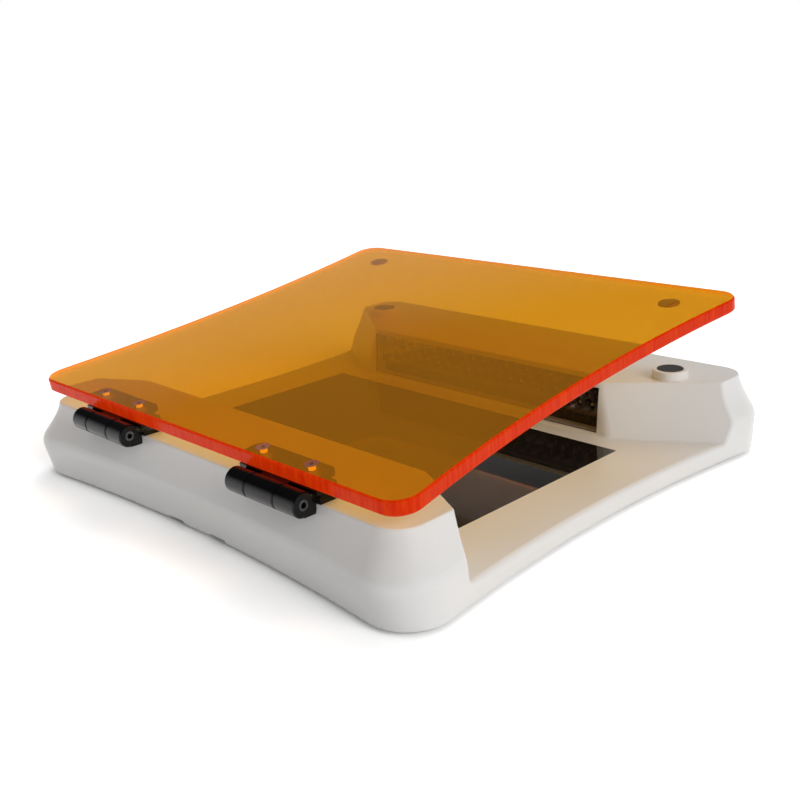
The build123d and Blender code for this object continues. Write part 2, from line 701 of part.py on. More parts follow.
def opened(part):
    """Moves a piece of the closed lid to the angle at which the lid stands at rest."""
    return Pos(0, PIVOT_Y, PIVOT_Z) * Rot(-LID_REST_ANGLE, 0, 0) * Pos(0, -PIVOT_Y, -PIVOT_Z) * part


def lid_screw_places():
    return [(x + side * SCREW_SPREAD, LID_SCREW_Y) for x in hinge_places() for side in (-1, 1)]


def lid_outline():
    half = LID_WIDTH / 2
    front_y = LID_REAR_Y - LID_DEPTH
    middle_y = LID_REAR_Y - LID_DEPTH / 2
    edges = [
        Line((-half, LID_REAR_Y), (half, LID_REAR_Y)),
        ThreePointArc((half, LID_REAR_Y), (half - LID_SIDE_BOW, middle_y), (half, front_y)),
        Line((half, front_y), (-half, front_y)),
        ThreePointArc((-half, front_y), (LID_SIDE_BOW - half, middle_y), (-half, LID_REAR_Y)),
    ]
    face = Face(Wire(edges))
    return face.fillet_2d(LID_CORNER_RADIUS, face.vertices())


def lid_panel():
    """Amber acrylic lid with bowed sides, round corners and bevelled edges."""
    panel = extrude(Pos(0, 0, LID_BOTTOM_Z) * lid_outline(), LID_THICKNESS, dir=(0, 0, 1))
    rims = panel.edges().group_by(Axis.Z)
    panel = chamfer(rims[0] + rims[-1], LID_BEVEL)
    for x, y in lid_screw_places():
        panel -= Pos(x, y, LID_TOP_Z) * countersink(SCREW_FIT)
        panel -= Pos(x, y, LID_BOTTOM_Z + LID_THICKNESS / 2) * Cylinder(SCREW_RADIUS + SCREW_FIT, LID_THICKNESS)
    return opened(panel)


def hinge_leaf(x):
    """Moving half: leaf under the lid with the middle knuckle."""
    top_z = LID_BOTTOM_Z - MODULE_SEAT_GAP / 2
    leaf = leaf_plate(x, LID_REAR_Y, top_z - LEAF_THICKNESS)
    left, middle, right = knuckle_spans()
    neck_y = PIVOT_Y - LID_REAR_Y
    neck = Pos(x + middle[0] + middle[1] / 2, LID_REAR_Y + neck_y / 2, top_z - LEAF_THICKNESS / 2) * Box(
        middle[1] - 2 * BARREL_EDGE, neck_y, LEAF_THICKNESS
    )
    half = leaf + neck + knuckle(x, middle)
    half -= pin_bore(x, HINGE_PIN_FIT)
    for side in (-1, 1):
        place = Pos(x + side * SCREW_SPREAD, LID_SCREW_Y, top_z)
        half -= place * Cylinder(SCREW_RADIUS + SCREW_FIT, 4 * LEAF_THICKNESS)
    return opened(half)


def lid_screws():
    screw = flat_screw(LID_THICKNESS + LEAF_THICKNESS - LID_SCREW_STOP, SCREW_FIT)
    return [opened(Pos(x, y, LID_TOP_Z) * screw) for x, y in lid_screw_places()]


def lid_catches():
    """Plated steel discs under the lid that meet the magnets."""
    disc = Cylinder(CATCH_RADIUS, CATCH_THICKNESS)
    middle_z = LID_BOTTOM_Z - CATCH_THICKNESS / 2
    return [opened(Pos(x, STOP_Y, middle_z) * disc) for x in (-STOP_X, STOP_X)]


def rubber_feet():
    return [
        Pos(x, y, FOOT_HEIGHT / 2) * Cone(FOOT_RADIUS - FOOT_TAPER, FOOT_RADIUS, FOOT_HEIGHT)
        for x in (-FOOT_X, FOOT_X)
        for y in (-FOOT_Y, FOOT_Y)
    ]


def cover_screws():
    screws = []
    for x, y in cover_screw_places():
        head = Pos(x, y, RIM_Z + COVER_SCREW_HEAD_HEIGHT / 2) * Cylinder(
            COVER_SCREW_HEAD_RADIUS, COVER_SCREW_HEAD_HEIGHT
        )
        shank = Pos(x, y, RIM_Z + COVER_SCREW_LENGTH / 2) * Cylinder(COVER_SCREW_RADIUS, COVER_SCREW_LENGTH)
        socket = Pos(x, y, RIM_Z) * extrude(RegularPolygon(SOCKET_RADIUS, 6), SOCKET_DEPTH)
        screws.append(head + shank - socket)
    return screws


def switch_body():
    """Round bezel, barrel and closed rear of the push-button switch."""
    frame = switch_axis()
    body = rod(frame, SWITCH_BEZEL_RADIUS, SCREW_FIT, SWITCH_BEZEL_HEIGHT)
    body = fillet(body.edges().group_by(Axis.Y)[0], SWITCH_BEZEL_HEIGHT / 2)
    body += rod(frame, SWITCH_BARREL_RADIUS, -SWITCH_BARREL_LENGTH, SWITCH_BARREL_LENGTH + SCREW_FIT)
    top = SWITCH_BEZEL_HEIGHT + SCREW_FIT
    cap_depth = BUTTON_CAP_HEIGHT - BUTTON_PROUD + BUTTON_TRAVEL + BUTTON_FIT
    body -= rod(frame, BUTTON_RADIUS + BUTTON_FIT, top - cap_depth, cap_depth)
    stem_depth = BUTTON_STEM_LENGTH + BUTTON_TRAVEL + BUTTON_FIT
    stem_bottom = top + BUTTON_PROUD - BUTTON_CAP_HEIGHT - stem_depth
    body -= rod(frame, BUTTON_STEM_RADIUS + BUTTON_FIT / 2, stem_bottom, stem_depth + BUTTON_CAP_HEIGHT)
    return body


def switch_nut():
    """Six-sided ring nut that clamps the switch from inside."""
    frame = switch_axis()
    nut = frame * Pos(0, 0, -SWITCH_PAD - SWITCH_NUT_HEIGHT) * extrude(
        RegularPolygon(SWITCH_NUT_WIDTH / 2, 6, major_radius=False), SWITCH_NUT_HEIGHT
    )
    return nut - rod(frame, SWITCH_BARREL_RADIUS + SCREW_FIT, -SWITCH_BARREL_LENGTH, SWITCH_BARREL_LENGTH)


def power_button():
    """Dished cap on a guided stem."""
    frame = switch_axis()
    top = SWITCH_BEZEL_HEIGHT + SCREW_FIT + BUTTON_PROUD
    cap = rod(frame, BUTTON_RADIUS, top - BUTTON_CAP_HEIGHT, BUTTON_CAP_HEIGHT)
    cap = chamfer(cap.edges().group_by(Axis.Y)[0], BUTTON_FIT * 4)
    bowl_radius = (BUTTON_RADIUS ** 2 + BUTTON_DISH ** 2) / (2 * BUTTON_DISH)
    bowl = frame * Pos(0, 0, top + bowl_radius - BUTTON_DISH) * Sphere(bowl_radius)
    cap -= bowl
    stem_top = top - BUTTON_CAP_HEIGHT
    return cap + rod(frame, BUTTON_STEM_RADIUS, stem_top - BUTTON_STEM_LENGTH, BUTTON_STEM_LENGTH)


def supply_inlet():
    """Round supply socket with its centre contact."""
    frame = inlet_axis()
    body = rod(frame, INLET_FLANGE_RADIUS, SCREW_FIT, INLET_FLANGE_HEIGHT)
    body += rod(frame, INLET_BARREL_RADIUS, -INLET_BARREL_LENGTH, INLET_BARREL_LENGTH + SCREW_FIT)
    top = INLET_FLANGE_HEIGHT + SCREW_FIT
    body -= rod(frame, INLET_BORE_RADIUS, top - INLET_BORE_DEPTH, INLET_BORE_DEPTH)
    body += rod(frame, INLET_PIN_RADIUS, top - INLET_BORE_DEPTH, INLET_PIN_LENGTH)
    return body


def inlet_nut():
    frame = inlet_axis()
    nut = frame * Pos(0, 0, -INLET_PAD - INLET_NUT_HEIGHT) * extrude(
        RegularPolygon(INLET_NUT_WIDTH / 2, 6, major_radius=False), INLET_NUT_HEIGHT
    )
    return nut - rod(frame, INLET_BARREL_RADIUS + SCREW_FIT, -INLET_BARREL_LENGTH, INLET_BARREL_LENGTH)


def driver_hole_places():
    dx = DRIVER_LENGTH / 2 - DRIVER_HOLE_INSET
    dy = DRIVER_WIDTH / 2 - DRIVER_HOLE_INSET
    return [(DRIVER_X + sx * dx, DRIVER_Y + sy * dy) for sx in (-1, 1) for sy in (-1, 1)]


def driver_board():
    """Driver board on four standoffs of the bottom cover."""
    low = COVER_TOP_Z + DRIVER_STANDOFF
    board = Box(DRIVER_LENGTH, DRIVER_WIDTH, DRIVER_THICKNESS)
    board = Pos(DRIVER_X, DRIVER_Y, low + DRIVER_THICKNESS / 2) * board
    for x, y in driver_hole_places():
        board -= Pos(x, y, low) * Cylinder(DRIVER_SCREW_RADIUS + SCREW_FIT, 4 * DRIVER_THICKNESS)
    top = low + DRIVER_THICKNESS
    spread = DRIVER_LENGTH / 6
    capacitor = Cylinder(CAPACITOR_RADIUS, CAPACITOR_HEIGHT)
    board += Pos(DRIVER_X - spread, DRIVER_Y, top + CAPACITOR_HEIGHT / 2) * capacitor
    coil = Box(COIL_LENGTH, COIL_WIDTH, COIL_HEIGHT)
    board += Pos(DRIVER_X + spread, DRIVER_Y, top + COIL_HEIGHT / 2) * coil
    return board


def driver_screws():
    top = COVER_TOP_Z + DRIVER_STANDOFF + DRIVER_THICKNESS
    screws = []
    for x, y in driver_hole_places():
        head = Pos(x, y, top + DRIVER_SCREW_HEAD_HEIGHT / 2) * Cylinder(
            DRIVER_SCREW_HEAD_RADIUS, DRIVER_SCREW_HEAD_HEIGHT
        )
        shank = Pos(x, y, top - DRIVER_SCREW_LENGTH / 2) * Cylinder(DRIVER_SCREW_RADIUS, DRIVER_SCREW_LENGTH)
        screws.append(head + shank)
    return screws


def write(name, shape):
    """Writes one node; a list becomes a group of separate solids."""
    if isinstance(shape, list):
        shape = Compound(children=[solid for item in shape for solid in item.solids()])
    export_step(shape, os.path.join("parts", name + ".step"))


def main():
    os.makedirs("parts", exist_ok=True)
    write("upper_housing", upper_housing())
    write("bottom_cover", bottom_cover())
    write("viewing_glass", viewing_glass())
    write("dark_backplate", dark_backplate())
    for name, maker in (
        ("window_pane", window_pane),
        ("lens_strip", lens_strip),
        ("light_board", light_board),
        ("heat_sink", heat_sink),
    ):
        piece = maker()
        write(name + "_front", piece)
        write(name + "_rear", rear_copy(piece))
    write("stop_magnets", magnets())
    for side, x in (("left", -HINGE_X), ("right", HINGE_X)):
        write("hinge_base_" + side, hinge_base(x))
        write("hinge_pin_" + side, hinge_pin(x))
        write("hinge_leaf_" + side, hinge_leaf(x))
    write("hinge_base_screws", base_hinge_screws())
    write("lid_panel", lid_panel())
    write("lid_screws", lid_screws())
    write("lid_catch_discs", lid_catches())
    write("rubber_feet", rubber_feet())
    write("cover_screws", cover_screws())
    write("switch_body", switch_body())
    write("switch_nut", switch_nut())
    write("power_button", power_button())
    write("supply_inlet", supply_inlet())
    write("inlet_nut", inlet_nut())
    write("driver_board", driver_board())
    write("driver_screws", driver_screws())


main()
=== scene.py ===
from math import cos, radians, sin

import bmesh
import bpy
from mathutils import Matrix, Vector


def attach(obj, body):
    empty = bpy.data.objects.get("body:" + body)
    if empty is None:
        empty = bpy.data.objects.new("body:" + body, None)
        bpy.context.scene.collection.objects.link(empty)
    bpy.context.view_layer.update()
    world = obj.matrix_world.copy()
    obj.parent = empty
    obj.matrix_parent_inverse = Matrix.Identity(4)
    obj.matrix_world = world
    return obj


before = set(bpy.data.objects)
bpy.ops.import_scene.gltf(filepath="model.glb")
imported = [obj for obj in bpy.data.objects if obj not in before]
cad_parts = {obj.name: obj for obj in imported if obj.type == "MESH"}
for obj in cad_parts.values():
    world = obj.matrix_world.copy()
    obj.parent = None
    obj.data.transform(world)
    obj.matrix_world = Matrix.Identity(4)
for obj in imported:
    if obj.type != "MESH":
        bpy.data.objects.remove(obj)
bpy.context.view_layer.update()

# The blue light transilluminator's looks. Lengths are in metres and angles in degrees,
# in the same frame as the solids: X along the hinge, the hinge side is +Y, Z up.

# Camera. The lens and the sensor are in millimetres.
CAMERA_AZIMUTH = 226.32
CAMERA_ELEVATION = 18.01
CAMERA_ROLL = -3.09
CAMERA_DISTANCE = 0.590
CAMERA_TARGET = Vector((-0.01618, 0.014, 0.04088))
CAMERA_LENS = 47.51
SENSOR_WIDTH = 36.0
CLIP_START = 0.01

# Light. The mirrored backdrop turns into the ceiling over a range of heights,
# given as the sine of the elevation.
KEY_AZIMUTH = 269.0
KEY_ELEVATION = 25.0
KEY_STRENGTH = 1.45
TOP_AZIMUTH = 20.0
TOP_ELEVATION = 55.0
TOP_STRENGTH = 0.68
LAMP_ANGLE = 40.0
AMBIENT = 0.37
BACKDROP_WHITE = 1.0
CEILING_GREY = 0.03
CEILING_RANGE = (0.1, 0.42)

# Floor
FLOOR_SIZE = 9.0
FLOOR_COLOUR = 0.86
FLOOR_BRIGHTENING = 0.84
FLOOR_ROUGHNESS = 0.9

# Lid. Red and orange are its cut edges seen from outside, gold is what they show through
# the sheet, and the edges also give off these colours as a painted glow. A face counts as
# edge below the first cosine and as large face above the second.
LID_ANGLE = 7.4
AMBER = (0.8, 0.36, 0.01)
AMBER_LIGHT = (1.0, 0.65, 0.2)
CLEARNESS = 0.76
EDGE_RED = (0.32, 0.009, 0.0003)
EDGE_ORANGE = (0.37, 0.024, 0.001)
EDGE_GOLD = (0.7, 0.32, 0.02)
EDGE_PAINTED_GLOW = 1.05
FACE_COSINES = (0.9, 0.98)

# Other clear parts
PANE_COLOUR = (0.72, 0.66, 0.64)
ACRYLIC_IOR = 1.49
PANE_IOR = 1.5
GLASS_IOR = 1.52

# Emitters behind the windows, as in the solids. A tower's window leans back from its foot
# at the trough floor, the rows of cups nest as hexagons do, and the emitters' tops lie
# at a depth behind the window's plane.
WALL_Y = {"front": -0.0675, "rear": 0.091}
FLOOR_Z = 0.012
TROUGH_DRAFT = 4.0
LENS_CENTRE = 0.0188
LENS_LENGTH = 0.179
CUP_PITCH = 0.0087
ROW_PITCH = CUP_PITCH * cos(radians(30))
CUP_ROWS = 2
EMITTER_DEPTH = 0.0106
DOME_RADIUS = 0.0011
DOME_SEGMENTS = 12
DOME_RINGS = 4

# The span of a noise's value over which a colour or a roughness changes
MIDDLE_SPAN = (0.3, 0.7)
WIDE_SPAN = (0.2, 0.8)

# Slow changes on moulded and painted surfaces, and how far roughness moves with them
CLOUD_SCALE = 14.0
GLOSS_SCALE = 30.0
GLOSS_CHANGE = (0.92, 1.1)

# Marks on metal: how far roughness moves with them, and their depth
METAL_CHANGE = (0.8, 1.3)
METAL_DEPTH = 0.00001

# Places of the two colours and of the result among a colour mix node's sockets
MIX_FIRST = 6
MIX_SECOND = 7
MIX_RESULT = 2


def add_object(name, data):
    """New object in the scene, made from a mesh, a lamp or a camera."""
    made = bpy.data.objects.new(name, data)
    bpy.context.scene.collection.objects.link(made)
    return made


def set_inputs(made, **values):
    """Sets a node's own inputs. An underscore in a name stands for a space."""
    for key, value in values.items():
        made.inputs[key.replace("_", " ")].default_value = value


def node(owner, kind, **values):
    """New node in a material or the world, with some of its inputs set."""
    made = owner.node_tree.nodes.new(kind)
    set_inputs(made, **values)
    return made


def link(owner, source, target):
    owner.node_tree.links.new(source, target)


def material(name):
    """New node material with one Principled shader; returns the material and the shader."""
    mat = bpy.data.materials.new(name)
    mat.use_nodes = True
    mat.node_tree.nodes.clear()
    output = node(mat, "ShaderNodeOutputMaterial")
    shader = node(mat, "ShaderNodeBsdfPrincipled")
    link(mat, shader.outputs["BSDF"], output.inputs["Surface"])
    return mat, shader


def show(mat, source):
    """Makes a shader the material's surface, in place of the one before."""
    output = next(n for n in mat.node_tree.nodes if n.type == "OUTPUT_MATERIAL")
    link(mat, source, output.inputs["Surface"])


def place(mat, stretch=(1, 1, 1)):
    """Object coordinates, multiplied by a number along each axis."""
    coords = node(mat, "ShaderNodeTexCoord")
    mapping = node(mat, "ShaderNodeMapping", Scale=stretch)
    link(mat, coords.outputs["Object"], mapping.inputs["Vector"])
    return mapping.outputs["Vector"]


def noise(mat, scale, detail=3.0, stretch=(1, 1, 1)):
    """Noise on object coordinates. Its marks are long along an axis with a small number."""
    made = node(mat, "ShaderNodeTexNoise", Scale=scale, Detail=detail)
    link(mat, place(mat, stretch), made.inputs["Vector"])
    return made.outputs["Fac"]


def spread(mat, value, low, high, span=MIDDLE_SPAN):
    """Maps a span of a value to a range of numbers."""
    start, end = span
    made = node(mat, "ShaderNodeMapRange", From_Min=start, From_Max=end, To_Min=low, To_Max=high)
    link(mat, value, made.inputs["Value"])
    return made.outputs["Result"]


def two_colours(owner, value, first, second, span=MIDDLE_SPAN):
    """Turns from one colour to another over a span of a value."""
    ramp = node(owner, "ShaderNodeValToRGB")
    for element, position, colour in zip(ramp.color_ramp.elements, span, (first, second)):
        element.position = position
        element.color = (*colour, 1)
    link(owner, value, ramp.inputs["Fac"])
    return ramp.outputs["Color"]


def paler(colour, factor):
    return tuple(min(1.0, part * factor) for part in colour)


def relief(mat, shader, height, depth):
    bump = node(mat, "ShaderNodeBump", Strength=1.0, Distance=depth)
    link(mat, height, bump.inputs["Height"])
    link(mat, bump.outputs["Normal"], shader.inputs["Normal"])


def larger(owner, first, second):
    """The larger of two values."""
    made = node(owner, "ShaderNodeMath")
    made.operation = "MAXIMUM"
    link(owner, first, made.inputs[0])
    link(owner, second, made.inputs[1])
    return made.outputs["Value"]


def mix_shaders(owner, share, first, second):
    """The first shader where the share is 0 and the second where it is 1."""
    mix = node(owner, "ShaderNodeMixShader")
    link(owner, share, mix.inputs["Fac"])
    link(owner, first, mix.inputs[1])
    link(owner, second, mix.inputs[2])
    return mix.outputs["Shader"]


def seen_rays(owner):
    """1 for camera rays and for rays mirrored or sent through by the object."""
    path = node(owner, "ShaderNodeLightPath")
    total = path.outputs["Is Camera Ray"]
    for name in ("Is Glossy Ray", "Is Transmission Ray"):
        total = larger(owner, total, path.outputs[name])
    return total


def see_through(mat, glass, colour):
    """Lets lamps and soft light through a glass, tinted once at each of its two faces."""
    path = node(mat, "ShaderNodeLightPath")
    either = larger(mat, path.outputs["Is Shadow Ray"], path.outputs["Is Diffuse Ray"])
    one_face = [part ** 0.5 for part in colour]
    clear = node(mat, "ShaderNodeBsdfTransparent", Color=(*one_face, 1))
    return mix_shaders(mat, either, glass.outputs["BSDF"], clear.outputs["BSDF"])


def plastic(name, dark, light, rough, grain_scale, grain_depth, grain_stretch=(1, 1, 1), specular=0.5):
    """Moulded or painted surface with slow colour and roughness changes and a fine grain."""
    mat, shader = material(name)
    cloud = noise(mat, CLOUD_SCALE, detail=1.0)
    link(mat, two_colours(mat, cloud, dark, light, WIDE_SPAN), shader.inputs["Base Color"])
    grain = noise(mat, grain_scale, detail=2.0, stretch=grain_stretch)
    low, high = (rough * change for change in GLOSS_CHANGE)
    gloss = spread(mat, noise(mat, GLOSS_SCALE, detail=1.0), low, high, WIDE_SPAN)
    link(mat, gloss, shader.inputs["Roughness"])
    relief(mat, shader, grain, grain_depth)
    set_inputs(shader, Specular_IOR_Level=specular)
    return mat


def metal(name, dark, light, rough, scale=900.0, stretch=(1, 1, 1)):
    """Metal with fine marks, which are lines where the stretch differs between the axes."""
    mat, shader = material(name)
    set_inputs(shader, Metallic=1.0)
    marks = noise(mat, scale, detail=4.0, stretch=stretch)
    link(mat, two_colours(mat, marks, dark, light), shader.inputs["Base Color"])
    low, high = (rough * change for change in METAL_CHANGE)
    link(mat, spread(mat, marks, low, high), shader.inputs["Roughness"])
    relief(mat, shader, marks, METAL_DEPTH)
    return mat


def lid_edge_share(mat):
    """How far a face of the lid turns away from its two large faces: 0 on those, 1 on the edges."""
    lean = radians(LID_ANGLE)
    coords = node(mat, "ShaderNodeTexCoord")
    dot = node(mat, "ShaderNodeVectorMath")
    dot.operation = "DOT_PRODUCT"
    dot.inputs[1].default_value = (0, sin(lean), cos(lean))
    link(mat, coords.outputs["Normal"], dot.inputs[0])
    size = node(mat, "ShaderNodeMath")
    size.operation = "ABSOLUTE"
    link(mat, dot.outputs["Value"], size.inputs[0])
    return spread(mat, size.outputs["Value"], low=1.0, high=0.0, span=FACE_COSINES)


def amber_acrylic():
    """Transparent amber sheet whose polished edges glow red with painted light, emitted in their own
    colour.
    """
    mat, sheet = material("amber_acrylic")
    set_inputs(sheet, Transmission_Weight=CLEARNESS, IOR=ACRYLIC_IOR, Specular_IOR_Level=0.3)
    cloud = noise(mat, 5.0, detail=1.0)
    tint = two_colours(mat, cloud, AMBER, paler(AMBER, 1.03))
    link(mat, tint, sheet.inputs["Base Color"])
    smears = noise(mat, 12.0, detail=1.0, stretch=(1, 3, 1))
    link(mat, spread(mat, smears, low=0.0, high=0.02, span=WIDE_SPAN), sheet.inputs["Roughness"])
    inside = node(mat, "ShaderNodeNewGeometry").outputs["Backfacing"]
    edge = node(mat, "ShaderNodeBsdfPrincipled")
    saw = noise(mat, 500.0, stretch=(1, 1, 0.1))
    hue = node(mat, "ShaderNodeMix")
    hue.data_type = "RGBA"
    link(mat, inside, hue.inputs["Factor"])
    link(mat, two_colours(mat, saw, EDGE_RED, EDGE_ORANGE), hue.inputs[MIX_FIRST])
    hue.inputs[MIX_SECOND].default_value = (*EDGE_GOLD, 1)
    link(mat, hue.outputs[MIX_RESULT], edge.inputs["Base Color"])
    # The edge colour is also emitted: a painted glow, red and orange from outside and gold from inside.
    link(mat, hue.outputs[MIX_RESULT], edge.inputs["Emission Color"])
    set_inputs(edge, Roughness=0.2, Specular_IOR_Level=0.05, Emission_Strength=EDGE_PAINTED_GLOW)
    whole = node(mat, "ShaderNodeMixShader")
    link(mat, lid_edge_share(mat), whole.inputs["Fac"])
    link(mat, see_through(mat, sheet, AMBER_LIGHT), whole.inputs[1])
    link(mat, edge.outputs["BSDF"], whole.inputs[2])
    show(mat, whole.outputs["Shader"])
    return mat


def dark_glass():
    """Nearly black glass with faint smudges in its gloss."""
    mat, shader = material("dark_glass")
    smudge = noise(mat, 16.0, detail=5.0)
    tint = two_colours(mat, smudge, (0.006, 0.006, 0.008), (0.014, 0.013, 0.013))
    link(mat, tint, shader.inputs["Base Color"])
    link(mat, spread(mat, smudge, low=0.01, high=0.05), shader.inputs["Roughness"])
    set_inputs(shader, IOR=GLASS_IOR)
    return mat


def smoked_pane():
    """Filter pane in front of the emitters, through which the cups show."""
    mat, shader = material("smoked_pane")
    set_inputs(shader, Transmission_Weight=1.0, IOR=PANE_IOR)
    tint = two_colours(mat, noise(mat, 25.0), PANE_COLOUR, paler(PANE_COLOUR, 1.08))
    link(mat, tint, shader.inputs["Base Color"])
    smudge = noise(mat, 40.0, detail=5.0)
    link(mat, spread(mat, smudge, low=0.0, high=0.04), shader.inputs["Roughness"])
    show(mat, see_through(mat, shader, PANE_COLOUR))
    return mat


def circuit_board():
    """Black solder mask with faint raised tracks."""
    mat, shader = material("circuit_board")
    tracks = node(
        mat, "ShaderNodeTexBrick", Scale=90.0, Mortar_Size=0.03, Mortar=(0.03, 0.04, 0.032, 1),
        Color1=(0.006, 0.01, 0.008, 1), Color2=(0.008, 0.013, 0.01, 1))
    link(mat, place(mat), tracks.inputs["Vector"])
    link(mat, tracks.outputs["Color"], shader.inputs["Base Color"])
    link(mat, spread(mat, noise(mat, 200.0), low=0.3, high=0.45), shader.inputs["Roughness"])
    relief(mat, shader, tracks.outputs["Fac"], depth=0.00003)
    return mat


def emitter_silicone():
    """Yellowish silicone of the emitters' domes."""
    mat, shader = material("emitter_dome")
    tint = two_colours(mat, noise(mat, 1200.0), (0.75, 0.62, 0.25), (0.85, 0.75, 0.4))
    link(mat, tint, shader.inputs["Base Color"])
    set_inputs(shader, Roughness=0.12)
    return mat


def dress(names, mat):
    """Gives CAD nodes a material in every slot."""
    for name in names:
        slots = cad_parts[name].data.materials
        for i in range(len(slots)):
            slots[i] = mat


def dress_clear_parts():
    dress(["lid_panel"], amber_acrylic())
    dress(["viewing_glass"], dark_glass())
    dress(["window_pane_front", "window_pane_rear"], smoked_pane())


def dress_plastics():
    """Moulded, painted and rubber parts, and the lid's screws and discs, whose metal is coloured with a
    painted amber light from the lid.
    """
    dress(["upper_housing"], plastic(
        "white_housing", (0.775, 0.765, 0.75), (0.8, 0.792, 0.78),
        rough=0.3, grain_scale=900.0, grain_depth=0.000006))
    dress(["bottom_cover"], plastic(
        "black_cover", (0.012, 0.012, 0.013), (0.02, 0.02, 0.021),
        rough=0.5, grain_scale=700.0, grain_depth=0.00003))
    dress(["dark_backplate"], plastic(
        "black_plate", (0.005, 0.005, 0.005), (0.01, 0.01, 0.01),
        rough=0.6, grain_scale=500.0, grain_depth=0.00002))
    dress(["stop_magnets"], plastic(
        "magnet", (0.008, 0.007, 0.006), (0.014, 0.012, 0.01),
        rough=0.35, grain_scale=1200.0, grain_depth=0.00003, specular=0.15))
    dress(["hinge_base_left", "hinge_base_right", "hinge_leaf_left", "hinge_leaf_right"], plastic(
        "hinge_black", (0.002, 0.002, 0.0025), (0.005, 0.005, 0.0055),
        rough=0.13, grain_scale=1500.0, grain_depth=0.000008, specular=0.3))
    # Plated steel screws coloured amber: a painted reflection of the amber lid around them.
    dress(["lid_screws"], plastic(
        "screws_painted_amber_reflection", (0.24, 0.075, 0.035), (0.42, 0.15, 0.08),
        rough=0.35, grain_scale=900.0, grain_depth=0.00001, specular=0.15))
    # Nickel catch discs coloured pinkish brown: painted amber light from the lid over them.
    dress(["lid_catch_discs"], plastic(
        "catch_disc", (0.36, 0.2, 0.15), (0.46, 0.27, 0.2),
        rough=0.3, grain_scale=900.0, grain_depth=0.00001, grain_stretch=(1, 6, 1)))
    dress(["rubber_feet"], plastic(
        "foot_rubber", (0.014, 0.014, 0.014), (0.024, 0.024, 0.024),
        rough=0.75, grain_scale=800.0, grain_depth=0.00005))
    dress(["switch_body", "supply_inlet"], plastic(
        "switch_black", (0.01, 0.01, 0.011), (0.016, 0.016, 0.017),
        rough=0.25, grain_scale=900.0, grain_depth=0.00001))
    dress(["power_button"], plastic(
        "button_cap", (0.03, 0.03, 0.032), (0.045, 0.045, 0.047),
        rough=0.4, grain_scale=900.0, grain_depth=0.00002))


def dress_metals_and_boards():
    dress(["lens_strip_front", "lens_strip_rear"], metal(
        "reflector", (0.36, 0.34, 0.32), (0.52, 0.49, 0.46), rough=0.2, scale=300.0))
    dress(["light_board_front", "light_board_rear", "driver_board"], circuit_board())
    dress(["heat_sink_front", "heat_sink_rear"], metal(
        "heat_sink", (0.6, 0.61, 0.62), (0.75, 0.75, 0.76), rough=0.35, stretch=(1, 1, 0.05)))
    dress(["hinge_pin_left", "hinge_pin_right"], metal(
        "pin_steel", (0.1, 0.1, 0.1), (0.2, 0.2, 0.2), rough=0.3))
    dress(["hinge_base_screws", "cover_screws", "driver_screws"], metal(
        "screw_steel", (0.55, 0.54, 0.53), (0.75, 0.74, 0.73), rough=0.25))
    dress(["switch_nut", "inlet_nut"], metal(
        "nut_metal", (0.5, 0.5, 0.51), (0.68, 0.68, 0.69), rough=0.3))


def window_frame(tower):
    """Matrix on a tower's window plane: X along the window, Y up it, Z into the trough."""
    side = 1 if tower == "rear" else -1
    lean = radians(TROUGH_DRAFT)
    out = Vector((0, -side * cos(lean), sin(lean)))
    along = Vector((side, 0, 0))
    up = out.cross(along)
    origin = Vector((0, WALL_Y[tower], FLOOR_Z))
    turn = Matrix((along, up, out)).transposed().to_4x4()
    return Matrix.Translation(origin) @ turn


def cup_places():
    """The middle of each cup, along the window and up it, from the middle of the strip."""
    count = int((LENS_LENGTH - CUP_PITCH / 2) // CUP_PITCH)
    places = []
    for row in range(CUP_ROWS):
        shift = (row % 2 - 0.5) * CUP_PITCH / 2
        up = (row - (CUP_ROWS - 1) / 2) * ROW_PITCH
        for i in range(count):
            places.append(((i - (count - 1) / 2) * CUP_PITCH + shift, up))
    return places


def add_dome(shape, spot):
    """Half sphere on the XY plane of a matrix, in rings from its base to its tip."""
    turns = [radians(360 * i / DOME_SEGMENTS) for i in range(DOME_SEGMENTS)]
    rings = []
    for ring in range(DOME_RINGS):
        lift = radians(90 * ring / DOME_RINGS)
        across = DOME_RADIUS * cos(lift)
        height = DOME_RADIUS * sin(lift)
        points = [Vector((across * cos(turn), across * sin(turn), height)) for turn in turns]
        rings.append([shape.verts.new(spot @ point) for point in points])
    tip = shape.verts.new(spot @ Vector((0, 0, DOME_RADIUS)))
    for i in range(DOME_SEGMENTS):
        for low, high in zip(rings, rings[1:]):
            shape.faces.new((low[i - 1], low[i], high[i], high[i - 1]))
        shape.faces.new((rings[-1][i - 1], rings[-1][i], tip))


def emitter_domes(tower, mat):
    """The silicone domes on the emitters of one tower, as one piece that rides on the base."""
    name = "emitter_domes_" + tower
    shape = bmesh.new()
    base = window_frame(tower)
    for x, y in cup_places():
        add_dome(shape, base @ Matrix.Translation((x, LENS_CENTRE + y, -EMITTER_DEPTH)))
    mesh = bpy.data.meshes.new(name)
    shape.to_mesh(mesh)
    shape.free()
    for face in mesh.polygons:
        face.use_smooth = True
    mesh.materials.append(mat)
    piece = add_object(name, mesh)
    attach(piece, "base")


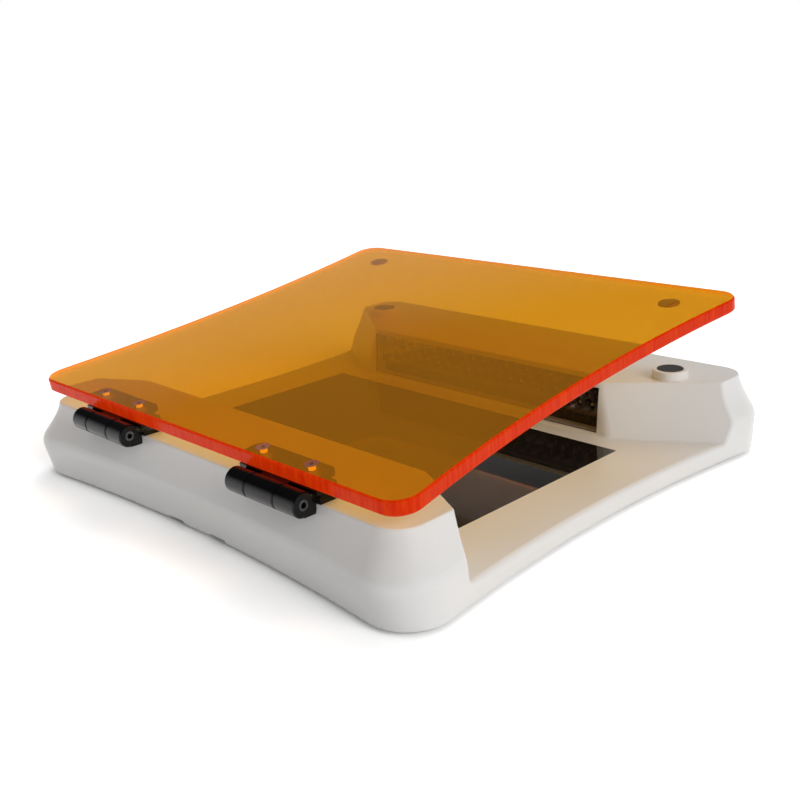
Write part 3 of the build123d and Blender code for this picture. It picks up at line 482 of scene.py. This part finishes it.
def stage_floor():
    """Pale floor, brighter where it is seen, so that it shows white but still takes the shadow."""
    mesh = bpy.data.meshes.new("floor")
    half = FLOOR_SIZE / 2
    corners = [(-half, -half, 0), (half, -half, 0), (half, half, 0), (-half, half, 0)]
    mesh.from_pydata(corners, [], [(0, 1, 2, 3)])
    mat, shader = material("floor")
    grey = (FLOOR_COLOUR, FLOOR_COLOUR, FLOOR_COLOUR, 1)
    extra_grey = (FLOOR_BRIGHTENING, FLOOR_BRIGHTENING, FLOOR_BRIGHTENING, 1)
    set_inputs(shader, Base_Color=grey, Roughness=FLOOR_ROUGHNESS, Specular_IOR_Level=0.0)
    extra = node(mat, "ShaderNodeBsdfDiffuse", Color=extra_grey)
    brighter = node(mat, "ShaderNodeMixShader")
    link(mat, seen_rays(mat), brighter.inputs["Fac"])
    link(mat, extra.outputs["BSDF"], brighter.inputs[2])
    both = node(mat, "ShaderNodeAddShader")
    link(mat, shader.outputs["BSDF"], both.inputs[0])
    link(mat, brighter.outputs["Shader"], both.inputs[1])
    show(mat, both.outputs["Shader"])
    mesh.materials.append(mat)
    add_object("floor", mesh)


def light_world():
    """Even light all round. The camera sees white, and mirrors see white under a dark ceiling."""
    world = bpy.data.worlds.new("studio")
    bpy.context.scene.world = world
    world.use_nodes = True
    world.node_tree.nodes.clear()
    output = node(world, "ShaderNodeOutputWorld")
    coords = node(world, "ShaderNodeTexCoord")
    split = node(world, "ShaderNodeSeparateXYZ")
    link(world, coords.outputs["Generated"], split.inputs["Vector"])
    white = (BACKDROP_WHITE, BACKDROP_WHITE, BACKDROP_WHITE)
    ceiling = (CEILING_GREY, CEILING_GREY, CEILING_GREY)
    shade = two_colours(world, split.outputs["Z"], white, ceiling, CEILING_RANGE)
    mirrored = node(world, "ShaderNodeBackground", Strength=1.0)
    link(world, shade, mirrored.inputs["Color"])
    even = node(world, "ShaderNodeBackground", Strength=AMBIENT, Color=(1, 1, 1, 1))
    backdrop = node(world, "ShaderNodeBackground", Strength=BACKDROP_WHITE, Color=(1, 1, 1, 1))
    camera_rays = node(world, "ShaderNodeLightPath").outputs["Is Camera Ray"]
    lit = mix_shaders(
        world, seen_rays(world), even.outputs["Background"], mirrored.outputs["Background"])
    whole = mix_shaders(world, camera_rays, lit, backdrop.outputs["Background"])
    link(world, whole, output.inputs["Surface"])


def direction(azimuth, elevation):
    """Unit vector from the object towards a place at that azimuth and elevation."""
    a = radians(azimuth)
    e = radians(elevation)
    return Vector((sin(a) * cos(e), -cos(a) * cos(e), sin(e)))


def distant_lamp(name, azimuth, elevation, strength):
    """Wide lamp far away, which lights the object but isn't mirrored in it."""
    lamp = bpy.data.lights.new(name, "SUN")
    lamp.energy = strength
    lamp.angle = radians(LAMP_ANGLE)
    holder = add_object(name, lamp)
    holder.rotation_euler = direction(azimuth, elevation).to_track_quat("Z", "Y").to_euler()
    holder.visible_glossy = False


def place_camera():
    """Camera at the photograph's viewing angle, with its slight roll."""
    back = direction(CAMERA_AZIMUTH, CAMERA_ELEVATION)
    right = Vector((0, 0, 1)).cross(back).normalized()
    up = back.cross(right)
    roll = radians(CAMERA_ROLL)
    turned_right = right * cos(roll) + up * sin(roll)
    turned_up = up * cos(roll) - right * sin(roll)
    turn = Matrix((turned_right, turned_up, back)).transposed().to_4x4()
    data = bpy.data.cameras.new("camera")
    data.lens = CAMERA_LENS
    data.sensor_width = SENSOR_WIDTH
    data.clip_start = CLIP_START
    camera = add_object("camera", data)
    camera.matrix_world = Matrix.Translation(CAMERA_TARGET + back * CAMERA_DISTANCE) @ turn
    bpy.context.scene.camera = camera


place_camera()
dress_clear_parts()
dress_plastics()
dress_metals_and_boards()
silicone = emitter_silicone()
for tower in WALL_Y:
    emitter_domes(tower, silicone)
stage_floor()
light_world()
distant_lamp("key", KEY_AZIMUTH, KEY_ELEVATION, KEY_STRENGTH)
distant_lamp("top", TOP_AZIMUTH, TOP_ELEVATION, TOP_STRENGTH)
bpy.context.scene.view_settings.view_transform = "Standard"
